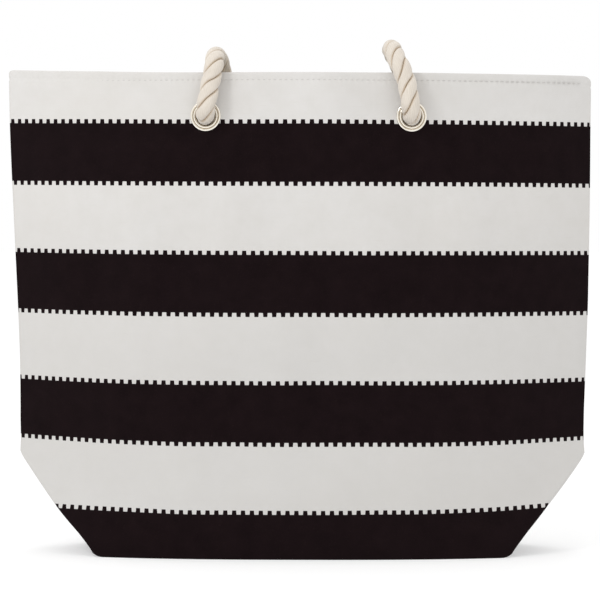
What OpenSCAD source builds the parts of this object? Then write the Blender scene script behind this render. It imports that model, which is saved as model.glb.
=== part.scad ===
// Striped beach bag: a canvas tub on a flat base with folded lower corners, a lining,
// four metal eyelets and two twisted rope handles that are knotted inside the mouth.
// Millimetres. Origin at the middle of the base, +Z up, +Y towards the back, +X to the right.

/* [Bag body] */
// Height from the base to the mouth's edge
body_h = 380; // [320:1:420]
// Half of the width across the mouth
mouth_half_w = 234; // [215:1:250]
// Half of the width where the corner folds meet the side seams
fold_half_w = 227; // [210:1:235]
// Height of that meeting point above the base
fold_z = 78; // [60:1:95]
// Half of the base's length
base_half_l = 162; // [150:1:175]
// Half of the base's depth at its middle
base_half_d = 65; // [58:1:68]
// Half of the base's depth at its ends
base_end_half_d = 51; // [44:1:56]
// Half of the mouth's depth at its middle
mouth_half_d = 62; // [58:1:66]
// How flat the panels stay before they curve in to the side seams
flatness = 2.6; // [2.2:0.1:3.2]

/* [Cloth] */
// Thickness of the striped canvas
canvas_t = 1.2; // [0.8:0.1:1.3]
// Thickness of the reinforcing tape round the mouth
band_t = 0.8; // [0.5:0.1:0.9]
// Height of the reinforcing tape
band_h = 56; // [50:1:70]
// Thickness of the lining
lining_t = 0.8; // [0.5:0.1:0.9]
// Thickness of the board that stiffens the base
board_t = 2; // [1:0.5:2]
// Height of the row of stitches below the mouth's edge
stitch_drop = 6; // [5:1:9]
// Spacing of the stitches
stitch_pitch = 4.3; // [3.5:0.1:6]

/* [Eyelets] */
// Half of the distance between the two eyelets of a panel
eyelet_x = 80; // [76:0.5:84]
// How far the front eyelets sit to the right of the bag's middle
front_shift = 5; // [0:0.5:8]
// Distance of the eyelets below the mouth's edge
eyelet_drop = 34; // [32:0.5:38]
// Radius of the hole that the rope passes through
eyelet_hole_r = 8.3; // [7.8:0.1:8.6]
// Outer radius of the flange
eyelet_flange_r = 11.9; // [11:0.1:12.5]

/* [Rope] */
// Radius of the twisted rope
rope_r = 7; // [6:0.1:7]
// Radius of a stopper knot
knot_r = 16; // [14:0.5:17]

/* [Hidden] */

canvas_colour = [0.90, 0.89, 0.87];
lining_colour = [0.86, 0.83, 0.76];
tape_colour = [0.80, 0.78, 0.72];
board_colour = [0.25, 0.25, 0.26];
thread_colour = [0.82, 0.81, 0.79];
metal_colour = [0.80, 0.76, 0.68];
rope_colour = [0.86, 0.82, 0.75];

eyelet_z = body_h - eyelet_drop;
layer_gap = 0.3;
seam_gap = 0.15;
// Depth of each layer's outer face below the canvas's outer face
band_off = canvas_t + layer_gap;
lining_off = band_off + band_t + layer_gap;
stack_t = lining_off + lining_t;
// The panels' faces meet the side seam at a slant, so each layer is thicker along X there
slant = 1.75;
// The lining stops short of the side seams and leaves room for the bound seam allowance
lining_seam_room = 8;
base_lining_z = canvas_t + layer_gap + board_t + layer_gap;
// The board stops short of the base's rounded edges
board_room = 4;

front_columns = 12;
fold_columns = 2;
fold_rows = 6;
wall_rows = 8;

// The knots' flat faces stand this far from the plane between the two panels
knot_face_y = 50.6;

// Ropes: points along each rope's middle line. The front ones are carried right by front_shift
front_leg_left_route = [
    [-80, -50.6, 346], [-80, -60, 346], [-80, -68, 348], [-79, -73, 355.5], [-77.2, -72.5, 363.5],
    [-76, -70, 371], [-74, -67.3, 380.7], [-73.3, -61.5, 387.6]
];
front_leg_right_route = [
    [80, -50.6, 346], [80, -60, 346], [79.6, -68, 348], [78.4, -73, 355.5], [77.1, -72.5, 364.5],
    [75.2, -70, 373], [71.3, -68, 383.5], [67.6, -62, 391.2]
];
front_crest_left_route = [
    [-73.1, -56, 390.4], [-72.9, -49, 392.6], [-72.4, -42, 393.3], [-71.4, -35, 392.4],
    [-70.2, -28, 389.7], [-69.2, -22, 385.6]
];
front_crest_right_route = [
    [66.2, -56.5, 395.3], [65.2, -49, 398], [64.8, -42, 398.9], [65.3, -35, 398], [67.2, -28, 395],
    [70, -22, 390.5]
];
front_loop_route = [
    [-68.4, -18, 381], [-68.2, -15, 374.5], [-67.6, -14, 367.5], [-66.5, -14, 357],
    [-64.5, -14, 345.5], [-60, -14, 334], [-52, -14, 325], [-40, -14, 319], [-24, -14, 315.5],
    [-5, -14, 314.5], [15, -14, 315], [33, -14, 318], [49, -14, 324], [61.5, -14, 333],
    [69.8, -14, 344.5], [74.4, -14, 356.5], [76.2, -14, 369], [75.3, -15, 377.5], [73, -18, 384.5]
];
back_stub_route = [[80, 50.6, 346], [80, 60, 346], [80, 69, 346]];
back_loop_half_route = [
    [80, 77, 342], [80, 84, 336], [80, 89, 327.5], [80, 90.5, 317.5], [79.8, 90, 304], [79, 87.5, 287],
    [77.5, 84, 269], [75, 80, 251], [70, 76.5, 234.5], [62, 73.5, 219.5], [51, 72, 207.5],
    [37, 72, 199.5], [19.5, 72, 195]
];
back_loop_middle = [0, 72, 193.5];
// Middle points of the bends about which the rope's rigid lengths turn
front_bend_outer = [-64, 392];
front_bend_inner = [-20, 392];
rope_sides = 10;

function lerp(a, b, t) = a + (b - a) * t;
function ease(t) = let (c = max(0, min(1, t))) c * c * (3 - 2 * c);

// Half width of the bag at height z, to the crease or to the side seam
function half_width(z) = z < fold_z
    ? lerp(base_half_l, fold_half_w, z / fold_z)
    : lerp(fold_half_w, mouth_half_w, ease((z - fold_z) / (body_h - fold_z)));

// Half depth at the bag's middle
function half_depth(z) = lerp(base_half_d, mouth_half_d, z / body_h);

// Half depth at the crease of a folded corner, which closes to nothing at fold_z
function fold_depth(z, off) = max(seam_gap, base_end_half_d * (1 - z / fold_z) - off);

// Depth of a layer's face at the fraction s of its half width
function face_depth(z, off, s) =
    let (edge = fold_depth(z, off), middle = half_depth(z) - off)
    edge + (middle - edge) * (1 - pow(abs(s), flatness));

// One half row of a layer's face, from the bag's middle to the side seam at y = 0
function half_row(z, off, in_x) =
    let (w = half_width(z) - in_x, room = z < fold_z ? 0 : 0.06 * ease((z - fold_z) / 60) + 0.003)
    concat(
        [for (k = [0 : front_columns]) let (s = k / front_columns * (1 - room))
            [w * s, face_depth(z, off, s)]],
        [for (k = [1 : fold_columns]) let (t = k / fold_columns)
            z < fold_z
                ? [w, lerp(fold_depth(z, off), seam_gap, t)]
                : [w * lerp(1 - room, 1, t), face_depth(z, off, lerp(1 - room, 1, t))]]
    );

function full_row(z, off, in_x, side) =
    let (half = half_row(z, off, in_x), n = len(half))
    concat(
        [for (k = [n - 1 : -1 : 1]) [-half[k][0], side * half[k][1], z]],
        [for (k = [0 : n - 1]) [half[k][0], side * half[k][1], z]]
    );

function panel_heights(z_low, z_high) = concat(
    [for (k = [0 : fold_rows]) lerp(z_low, fold_z, k / fold_rows)],
    [for (k = [1 : wall_rows]) lerp(fold_z, z_high, k / wall_rows)]
);

// A closed wall between an outer and an inner grid of points, one row for each height
module wall(heights, off_out, in_x_out, off_in, in_x_in, side) {
    outer = [for (z = heights) full_row(z, off_out, in_x_out, side)];
    inner = [for (z = heights) full_row(z, off_in, in_x_in, side)];
    rows = len(heights);
    cols = len(outer[0]);
    count = rows * cols;
    points = concat([for (r = outer) each r], [for (r = inner) each r]);
    function at(r, c) = r * cols + c;
    function quad(a, b, c, d) = [[a, b, c], [a, c, d]];
    faces = concat(
        [for (r = [0 : rows - 2], c = [0 : cols - 2])
            each quad(at(r, c), at(r + 1, c), at(r + 1, c + 1), at(r, c + 1))],
        [for (r = [0 : rows - 2], c = [0 : cols - 2])
            each quad(count + at(r, c), count + at(r, c + 1), count + at(r + 1, c + 1), count + at(r + 1, c))],
        [for (r = [0 : rows - 2])
            each quad(at(r, 0), count + at(r, 0), count + at(r + 1, 0), at(r + 1, 0))],
        [for (r = [0 : rows - 2])
            each quad(at(r, cols - 1), at(r + 1, cols - 1), count + at(r + 1, cols - 1), count + at(r, cols - 1))],
        [for (c = [0 : cols - 2])
            each quad(at(0, c), at(0, c + 1), count + at(0, c + 1), count + at(0, c))],
        [for (c = [0 : cols - 2])
            each quad(at(rows - 1, c), count + at(rows - 1, c), count + at(rows - 1, c + 1), at(rows - 1, c + 1))]
    );
    // side is -1 for the front, which reverses the faces
    polyhedron(points, side < 0 ? faces : [for (f = faces) [f[2], f[1], f[0]]]);
}

function eyelet_middle(right, side) = right * eyelet_x + (side < 0 ? front_shift : 0);

// Turn about Z that lays an eyelet flat on the canvas
function canvas_turn(x, z) =
    let (w = half_width(z), s = abs(x) / w)
    sign(x) * atan(half_depth(z) * flatness * pow(s, flatness - 1) / w);

// Puts a child that is made along +Z, out of the bag, at an eyelet
module at_eyelet(right, side) {
    x = eyelet_middle(right, side);
    translate([x, side * face_depth(eyelet_z, 0, x / half_width(eyelet_z)), eyelet_z])
        rotate([0, 0, -side * canvas_turn(x, eyelet_z)])
            rotate([-side * 90, 0, 0])
                children();
}

module eyelet_holes(side) {
    for (right = [-1, 1])
        at_eyelet(right, side)
            translate([0, 0, -12])
                cylinder(r = eyelet_hole_r + 1, h = 20, $fn = 48);
}

module canvas_panel(side) {
    color(canvas_colour)
        difference() {
            wall(panel_heights(0, body_h), 0, 0, canvas_t, canvas_t * slant, side);
            eyelet_holes(side);
        }
}

module lining_panel(side) {
    color(lining_colour)
        difference() {
            wall(
                panel_heights(base_lining_z, body_h - 0.5),
                lining_off, lining_off * slant + lining_seam_room,
                stack_t, stack_t * slant + lining_seam_room,
                side
            );
            eyelet_holes(side);
        }
}

module mouth_tape(side) {
    low = body_h - band_h;
    color(tape_colour)
        difference() {
            wall(
                [for (k = [0 : 2]) lerp(low, body_h - 0.5, k / 2)],
                band_off, band_off * slant + lining_seam_room,
                band_off + band_t, (band_off + band_t) * slant + lining_seam_room,
                side
            );
            eyelet_holes(side);
        }
}

// Outline of the base inside a layer's face at height z
module base_outline(z, off) {
    half = half_row(z, off, off * slant);
    quarter = [for (k = [0 : front_columns]) half[k]];
    polygon(concat(
        [for (k = [0 : front_columns]) quarter[k]],
        [for (k = [front_columns : -1 : 0]) [quarter[k][0], -quarter[k][1]]],
        [for (k = [1 : front_columns]) [-quarter[k][0], -quarter[k][1]]],
        [for (k = [front_columns : -1 : 1]) [-quarter[k][0], quarter[k][1]]]
    ));
}

module base_panel() {
    color(canvas_colour)
        linear_extrude(canvas_t)
            base_outline(0, canvas_t + 0.6);
}

module base_board() {
    color(board_colour)
        translate([0, 0, canvas_t + layer_gap])
            linear_extrude(board_t)
                base_outline(0, canvas_t + board_room);
}

module lining_base() {
    color(lining_colour)
        translate([0, 0, base_lining_z])
            linear_extrude(lining_t)
                base_outline(0, stack_t + lining_seam_room / slant);
}

// Seam allowance and its binding, a strip that follows the side seam inside the canvas
module side_seam_binding(right) {
    outer_in = canvas_t * slant + 2;
    inner_in = outer_in + lining_seam_room - 2;
    low = base_lining_z;
    heights = concat([low, fold_z], [for (k = [1 : 6]) lerp(fold_z, body_h - 1, k / 6)]);
    color(tape_colour)
        rotate([90, 0, 0])
            translate([0, 0, -0.8])
                linear_extrude(1.6)
                    polygon(concat(
                        [for (z = heights) [right * (half_width(z) - outer_in), z]],
                        [for (k = [len(heights) - 1 : -1 : 0])
                            [right * (half_width(heights[k]) - inner_in), heights[k]]]
                    ));
}

module hem_stitching(side) {
    z = body_h - stitch_drop;
    reach = mouth_half_w - 10;
    count = floor(reach / stitch_pitch);
    w = half_width(z);
    color(thread_colour)
        for (k = [-count : count])
            let (x = k * stitch_pitch)
            translate([x, side * face_depth(z, 0, x / w), z])
                rotate([0, 0, -side * canvas_turn(x, z)])
                    cube([stitch_pitch * 0.68, 0.5, 0.7], center = true);
}

// Flange, barrel and rolled inner end of one eyelet, turned about its own axis
module eyelet(right, side) {
    barrel_r = eyelet_hole_r + 0.7;
    barrel_end = -stack_t - 2.6;
    flange_t = 1.7;
    color(metal_colour)
        at_eyelet(right, side)
            rotate_extrude($fn = 64)
                polygon([
                    [eyelet_hole_r, 1.1], [eyelet_hole_r, barrel_end], [barrel_r, barrel_end],
                    [barrel_r, 0.1],
                    [eyelet_flange_r - 0.5, 0.1], [eyelet_flange_r, 0.5], [eyelet_flange_r - 0.1, 1.1],
                    [eyelet_flange_r - 0.7, 1.4], [eyelet_flange_r - 1.5, flange_t - 0.3],
                    [eyelet_hole_r + 1.5, flange_t], [eyelet_hole_r + 0.5, flange_t - 0.1]
                ]);
}

module washer(right, side) {
    color(metal_colour)
        at_eyelet(right, side)
            translate([0, 0, -stack_t - 2.3])
                rotate_extrude($fn = 64)
                    polygon([
                        [eyelet_hole_r + 0.75, 0.1], [eyelet_flange_r - 0.8, 0.1],
                        [eyelet_flange_r - 0.3, 0.5], [eyelet_flange_r - 0.3, 1.1],
                        [eyelet_hole_r + 0.75, 1.1]
                    ]);
}

// Stopper knot on the rope's end: a bulging body with a flat face towards the eyelet
module knot(right, side) {
    half_l = 13;
    color(rope_colour)
        translate([eyelet_middle(right, side), side * (knot_face_y - half_l), eyelet_z])
            rotate([-side * 90, 0, 0])
                rotate_extrude($fn = 40)
                    polygon(concat(
                        [[0, half_l]],
                        [for (a = [60 : -15 : -60])
                            [3 + (knot_r - 3) * cos(a), half_l / sin(60) * sin(a)]],
                        [[0, -half_l]]
                    ));
}

// A rope's tube, with a ring of sides across each point of its route
module rope_tube(route) {
    last = len(route) - 1;
    function ahead(k) =
        let (d = route[min(last, k + 1)] - route[max(0, k - 1)])
        d / norm(d);
    function across(k) =
        let (t = ahead(k), c = abs(t[0]) > 0.8 ? cross(t, [0, 1, 0]) : cross(t, [1, 0, 0]))
        c / norm(c);
    // The ring's first direction is carried along, so that the sides don't twist
    function carried(k) =
        k == 0
            ? across(0)
            : let (u = carried(k - 1), t = ahead(k), flat = u - (u * t) * t) flat / norm(flat);
    points = [for (k = [0 : last])
        let (t = ahead(k), u = carried(k), v = cross(t, u))
        for (i = [0 : rope_sides - 1])
            let (a = i * 360 / rope_sides)
            route[k] + rope_r * (cos(a) * u + sin(a) * v)];
    faces = concat(
        [[for (i = [rope_sides - 1 : -1 : 0]) i]],
        [for (k = [0 : last - 1], i = [0 : rope_sides - 1])
            let (j = (i + 1) % rope_sides, a = k * rope_sides, b = a + rope_sides)
            each [[a + i, a + j, b + j], [a + i, b + j, b + i]]],
        [[for (i = [0 : rope_sides - 1]) last * rope_sides + i]]
    );
    polyhedron(points, [for (f = faces) [for (i = [len(f) - 1 : -1 : 0]) f[i]]]);
}

function shifted(route) = [for (p = route) p + [front_shift, 0, 0]];

module rope_ball(x, bend) {
    translate([x + front_shift, bend[0], bend[1]])
        sphere(r = rope_r, $fn = 24);
}

module front_handle_leg(route, ball_x) {
    color(rope_colour)
        union() {
            rope_tube(shifted(route));
            rope_ball(ball_x, front_bend_outer);
        }
}

module front_handle_crest(route, ball_x) {
    color(rope_colour)
        union() {
            rope_tube(shifted(route));
            rope_ball(ball_x, front_bend_inner);
        }
}

module front_handle_loop() {
    color(rope_colour)
        rope_tube(shifted(front_loop_route));
}

module back_handle_stub(right) {
    color(rope_colour)
        rope_tube([for (p = back_stub_route) [right * p[0], p[1], p[2]]]);
}

module back_handle_loop() {
    half = back_loop_half_route;
    n = len(half);
    color(rope_colour)
        rope_tube(concat(
            half,
            [back_loop_middle],
            [for (k = [n - 1 : -1 : 0]) [-half[k][0], half[k][1], half[k][2]]]
        ));
}

canvas_panel(-1);  // front_panel
canvas_panel(1);  // back_panel
base_panel();
base_board();
lining_panel(-1);  // lining_front
lining_panel(1);  // lining_back
lining_base();
mouth_tape(-1);  // mouth_tape_front
mouth_tape(1);  // mouth_tape_back
side_seam_binding(-1);  // side_seam_binding_left
side_seam_binding(1);  // side_seam_binding_right
hem_stitching(-1);  // hem_stitching_front
hem_stitching(1);  // hem_stitching_back
eyelet(-1, -1);  // eyelet_front_left
eyelet(1, -1);  // eyelet_front_right
eyelet(-1, 1);  // eyelet_back_left
eyelet(1, 1);  // eyelet_back_right
washer(-1, -1);  // washer_front_left
washer(1, -1);  // washer_front_right
washer(-1, 1);  // washer_back_left
washer(1, 1);  // washer_back_right
knot(-1, -1);  // knot_front_left
knot(1, -1);  // knot_front_right
knot(-1, 1);  // knot_back_left
knot(1, 1);  // knot_back_right
front_handle_leg(front_leg_left_route, -73.3);  // front_handle_leg_left
front_handle_leg(front_leg_right_route, 67.6);  // front_handle_leg_right
front_handle_crest(front_crest_left_route, -69.2);  // front_handle_crest_left
front_handle_crest(front_crest_right_route, 70);  // front_handle_crest_right
front_handle_loop();
back_handle_stub(-1);  // back_handle_stub_left
back_handle_stub(1);  // back_handle_stub_right
back_handle_loop();
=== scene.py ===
import math

import bpy
import numpy as np
from mathutils import Matrix


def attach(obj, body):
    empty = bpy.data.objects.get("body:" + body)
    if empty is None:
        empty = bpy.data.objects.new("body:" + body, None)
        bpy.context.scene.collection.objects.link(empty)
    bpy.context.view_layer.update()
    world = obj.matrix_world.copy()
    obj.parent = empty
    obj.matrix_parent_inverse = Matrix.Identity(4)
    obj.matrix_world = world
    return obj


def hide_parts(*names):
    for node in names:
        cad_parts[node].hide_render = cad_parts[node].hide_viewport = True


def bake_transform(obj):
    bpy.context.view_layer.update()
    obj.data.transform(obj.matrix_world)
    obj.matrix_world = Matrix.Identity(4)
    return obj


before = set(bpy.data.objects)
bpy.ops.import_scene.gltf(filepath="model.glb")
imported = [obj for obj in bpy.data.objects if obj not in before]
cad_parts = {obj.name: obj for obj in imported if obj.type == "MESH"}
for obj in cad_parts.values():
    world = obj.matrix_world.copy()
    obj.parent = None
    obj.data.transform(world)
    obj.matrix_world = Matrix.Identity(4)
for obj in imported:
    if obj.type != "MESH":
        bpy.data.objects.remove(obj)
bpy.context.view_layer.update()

# --- Sizes in metres ---
# The bag's outline, the same as in the CAD source
BODY_H = 0.380
MOUTH_HALF_W = 0.234
FOLD_HALF_W = 0.227
FOLD_Z = 0.078
BASE_HALF_L = 0.162
BASE_HALF_D = 0.065
BASE_END_HALF_D = 0.051
MOUTH_HALF_D = 0.062
FLATNESS = 2.6
SEAM_GAP = 0.00015
# Each layer's depth below the canvas's outer face, and its thickness. The visible cloths are 0.1 mm thinner
# than the CAD source's, and the lining lies 0.2 mm deeper
CANVAS_T = 0.0011
TAPE_DEPTH = 0.0015
TAPE_T = 0.0007
LINING_DEPTH = 0.0028
LINING_T = 0.0007
# How much thicker a layer is along X, where the faces meet the side seams at a slant, and the room left there
SLANT = 1.75
SEAM_ROOM = 0.008
# Stitches, eyelets and rope
STITCH_Z = 0.374
STITCH_PITCH = 0.0043
EYELET_Z = 0.346
EYELET_HALF = 0.080
FRONT_SHIFT = 0.005
# Radius of the hole in the cloth, and of the ring in which the cloth lies flat
HOLE_R = 0.0094
RING_R = 0.012
ROPE_D = 0.014
LAY = 0.040
# Length of the eyelet's section from its outer foot to the groove between its two rolls
GROOVE_RUN = 0.00378
# Heights of rows a little below and above the eyelets, and of the last one before the canvas turns over
LOW_ROW_Z = 0.326
HIGH_ROW_Z = 0.362
TOP_Z = 0.3787
# The drape eases out over this distance from a side seam or from an eyelet's ring
EASE = 0.030

# Points along each rope's middle line, as in the CAD source, the front ones with their shift to the right
FRONT_LEG_LEFT = (
    (-0.075, -0.0506, 0.346), (-0.075, -0.06, 0.346), (-0.075, -0.068, 0.348),
    (-0.074, -0.073, 0.3555), (-0.0722, -0.0725, 0.3635), (-0.071, -0.07, 0.371),
    (-0.069, -0.0673, 0.3807), (-0.0683, -0.0615, 0.3876),
)
FRONT_CREST_LEFT = (
    (-0.0681, -0.056, 0.3904), (-0.0679, -0.049, 0.3926), (-0.0674, -0.042, 0.3933),
    (-0.0664, -0.035, 0.3924), (-0.0652, -0.028, 0.3897), (-0.0642, -0.022, 0.3856),
)
FRONT_LOOP = (
    (-0.0634, -0.018, 0.381), (-0.0632, -0.015, 0.3745), (-0.0626, -0.014, 0.3675),
    (-0.0615, -0.014, 0.357), (-0.0595, -0.014, 0.3455), (-0.055, -0.014, 0.334),
    (-0.047, -0.014, 0.325), (-0.035, -0.014, 0.319), (-0.019, -0.014, 0.3155), (0.0, -0.014, 0.3145),
    (0.02, -0.014, 0.315), (0.038, -0.014, 0.318), (0.054, -0.014, 0.324), (0.0665, -0.014, 0.333),
    (0.0748, -0.014, 0.3445), (0.0794, -0.014, 0.3565), (0.0812, -0.014, 0.369),
    (0.0803, -0.015, 0.3775), (0.078, -0.018, 0.3845),
)
FRONT_CREST_RIGHT = (
    (0.0712, -0.0565, 0.3953), (0.0702, -0.049, 0.398), (0.0698, -0.042, 0.3989),
    (0.0703, -0.035, 0.398), (0.0722, -0.028, 0.395), (0.075, -0.022, 0.3905),
)
FRONT_LEG_RIGHT = (
    (0.085, -0.0506, 0.346), (0.085, -0.06, 0.346), (0.0846, -0.068, 0.348), (0.0834, -0.073, 0.3555),
    (0.0821, -0.0725, 0.3645), (0.0802, -0.07, 0.373), (0.0763, -0.068, 0.3835),
    (0.0726, -0.062, 0.3912),
)
BACK_HALF = (
    (0.08, 0.0506, 0.346), (0.08, 0.06, 0.346), (0.08, 0.069, 0.346), (0.08, 0.077, 0.342),
    (0.08, 0.084, 0.336), (0.08, 0.089, 0.3275), (0.08, 0.0905, 0.3175), (0.0798, 0.09, 0.304),
    (0.079, 0.0875, 0.287), (0.0775, 0.084, 0.269), (0.075, 0.08, 0.251), (0.07, 0.0765, 0.2345),
    (0.062, 0.0735, 0.2195), (0.051, 0.072, 0.2075), (0.037, 0.072, 0.1995), (0.0195, 0.072, 0.195),
)
BACK_MIDDLE = (0.0, 0.072, 0.1935)


def link(thing):
    bpy.context.scene.collection.objects.link(thing)


def make_camera():
    """A long lens at the height of the bag's upper half, tipped down a little and turned by a trace about its
    own axis."""
    data = bpy.data.cameras.new("camera")
    data.sensor_width = 36.0
    data.lens = 157.3
    data.clip_start = 0.05
    data.clip_end = 60.0
    camera = bpy.data.objects.new("camera", data)
    link(camera)
    down, about = math.radians(2.02), math.radians(0.13)
    tip = Matrix.Rotation(math.pi / 2 - down, 4, "X")
    roll = Matrix.Rotation(about, 4, "Z")
    camera.matrix_world = Matrix.Translation((-0.0014, -2.100, 0.275)) @ tip @ roll
    bpy.context.scene.camera = camera


make_camera()


# --- Meshes from arrays ---
def grid_faces(rows, columns, wrap_rows=False, wrap_columns=False):
    """Four-sided faces of a grid, and their corners on the flat grid, where a wrapped edge isn't joined."""
    last_row = rows if wrap_rows else rows - 1
    last_column = columns if wrap_columns else columns - 1
    row, column = np.meshgrid(np.arange(last_row), np.arange(last_column), indexing="ij")
    row, column = row.ravel(), column.ravel()
    steps = ((0, 0), (0, 1), (1, 1), (1, 0))
    faces = np.stack([(row + a) % rows * columns + (column + b) % columns for a, b in steps], 1)
    flat = np.stack([(row + a) * (last_column + 1) + column + b for a, b in steps], 1)
    return faces, flat


def grid_uv(across, up):
    """A place for each corner of a grid, a row for each number in up."""
    return np.stack(np.broadcast_arrays(across[None, :], up[:, None]), -1).reshape(-1, 2)


def end_fans(rows, sides):
    """Triangles that close a stack of rings at both ends, to two points that come after the rings' own."""
    here, there = np.arange(sides), (np.arange(sides) + 1) % sides
    last = (rows - 1) * sides
    low = np.stack([there, here, np.full(sides, rows * sides)], 1)
    high = np.stack([here + last, there + last, np.full(sides, rows * sides + 1)], 1)
    return low, high


def add_piece(name, points, faces, finish, corner_uv=None, values=None, sharp=50.0):
    """One mesh object from points, a list of face arrays, and a UV for each corner of each face."""
    mesh = bpy.data.meshes.new(name)
    sizes = np.concatenate([np.full(len(f), f.shape[1]) for f in faces])
    corners = np.concatenate([f.ravel() for f in faces]).astype(np.int32)
    mesh.vertices.add(len(points))
    mesh.vertices.foreach_set("co", np.asarray(points, np.float32).ravel())
    mesh.loops.add(len(corners))
    mesh.loops.foreach_set("vertex_index", corners)
    mesh.polygons.add(len(sizes))
    starts = np.concatenate([[0], np.cumsum(sizes)[:-1]]).astype(np.int32)
    mesh.polygons.foreach_set("loop_start", starts)
    mesh.update(calc_edges=True)
    if corner_uv is not None:
        layer = mesh.uv_layers.new(name="cloth")
        layer.data.foreach_set("uv", np.asarray(corner_uv, np.float32).ravel())
    for key, value in (values or {}).items():
        layer = mesh.attributes.new(key, "FLOAT", "POINT")
        layer.data.foreach_set("value", np.asarray(value, np.float32).ravel())
    mesh.validate()
    mesh.shade_smooth()
    mesh.set_sharp_from_angle(angle=math.radians(sharp))
    mesh.materials.append(finish)
    piece = bpy.data.objects.new(name, mesh)
    link(piece)
    return piece


def unit(vectors):
    return vectors / np.maximum(np.linalg.norm(vectors, axis=-1, keepdims=True), 1e-12)


def cloth_piece(name, outer, thickness, uv, finish, keep=None):
    """A cloth of even thickness. The inner points are the outer ones less the thickness along the grid's
    normal, and every border edge of the kept faces gets a wall, so that the piece is closed."""
    rows, columns = outer.shape[:2]
    normal = unit(np.cross(np.gradient(outer, axis=1), np.gradient(outer, axis=0)))
    inner = outer - thickness * normal
    faces, _ = grid_faces(rows, columns)
    if keep is not None:
        faces = faces[keep.ravel()]
    count = rows * columns
    edges = np.concatenate([faces[:, [k, (k + 1) % 4]] for k in range(4)])
    ahead = edges[:, 0] * count + edges[:, 1]
    back = edges[:, 1] * count + edges[:, 0]
    rim = edges[~np.isin(ahead, back)]
    walls = np.stack([rim[:, 1], rim[:, 0], rim[:, 0] + count, rim[:, 1] + count], 1)
    every = np.concatenate([faces, faces[:, ::-1] + count, walls])
    points = np.concatenate([outer.reshape(-1, 3), inner.reshape(-1, 3)])
    places = np.concatenate([uv.reshape(-1, 2), uv.reshape(-1, 2)])
    used, every = np.unique(every, return_inverse=True)
    every = every.reshape(-1, 4)
    return add_piece(name, points[used], [every], finish, places[used][every].reshape(-1, 2))


def smooth_step(t):
    """Nothing up to 0, one from 1 on, and between them three squares less two cubes."""
    c = np.clip(t, 0.0, 1.0)
    return c * c * (3.0 - 2.0 * c)


def quarter_round(distance, radius):
    """How far an edge that is rounded as a quarter circle falls away, at a distance from it."""
    return radius * (1.0 - np.sqrt(np.clip(1.0 - (1.0 - np.clip(distance / radius, 0, 1)) ** 2, 0, 1)))


def clear_of_eyelet(x, z, place):
    """Nothing under an eyelet's ring, easing up to one outside it."""
    return smooth_step((np.hypot(x - place, z - EYELET_Z) - RING_R) / EASE)


# --- The bag's wall: one shape shared by the canvas, the tape round the mouth and the lining ---
def half_width(z):
    """Straight from the base's half length to the fold, then easing out to the mouth."""
    low = BASE_HALF_L + (FOLD_HALF_W - BASE_HALF_L) * z / FOLD_Z
    high = FOLD_HALF_W + (MOUTH_HALF_W - FOLD_HALF_W) * smooth_step((z - FOLD_Z) / (BODY_H - FOLD_Z))
    return np.where(z < FOLD_Z, low, high)


def face_depth(z, depth, s):
    """Depth at the edge, plus what the middle has more, times one less |s| to the power of the flatness."""
    edge = np.maximum(SEAM_GAP, BASE_END_HALF_D * (1.0 - z / FOLD_Z) - depth)
    middle = BASE_HALF_D + (MOUTH_HALF_D - BASE_HALF_D) * z / BODY_H - depth
    return edge + (middle - edge) * (1.0 - np.abs(s) ** FLATNESS)


# Height against how far the cloth's edge stands to the right of its drawn place, on the left and right sides
LEAN_Z = (0.000, 0.013, 0.030, 0.048, 0.066, 0.085, 0.104, 0.152, 0.200, 0.277, 0.335, 0.378)
LEAN_LEFT = (
    0.0006, 0.0006, -0.0022, -0.0019, -0.0008, 0.0010, 0.0007, 0.0014, 0.0010, 0.0001, -0.0009, -0.0013,
)
LEAN_RIGHT = (
    0.0010, 0.0016, 0.0035, 0.0038, 0.0030, 0.0004, 0.0003, 0.0008, 0.0008, -0.0009, -0.0022, -0.0024,
)


def eased(z, values):
    """Straight lines between the listed values, averaged over 14 mm so that no line has a corner."""
    spread = np.linspace(-0.007, 0.007, 7)
    return np.mean([np.interp(z + d, LEAN_Z, values) for d in spread], 0)


# How far the cloth rises beside the left side seam, and beside the right one
LIFT_Z = (0.000, 0.037, 0.090, 0.138, 0.290, 0.341, 0.380)
LIFT_LEFT = (0.0008, 0.0008, 0.0018, 0.0009, 0.0009, 0.0018, 0.0042)
LIFT_RIGHT = (0.0004, 0.0024, 0.0006, -0.0004, -0.0005, 0.0000, 0.0004)


def lift(s, z):
    """Nothing at the middle, and the listed rise towards each side seam, growing as the square of the way."""
    left = np.clip((-s - 0.25) / 0.75, 0.0, 1.0) ** 2 * np.interp(z, LIFT_Z, LIFT_LEFT)
    right = np.clip((s - 0.35) / 0.65, 0.0, 1.0) ** 2 * np.interp(z, LIFT_Z, LIFT_RIGHT)
    return (left + right) * smooth_step(z / 0.020)


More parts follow.
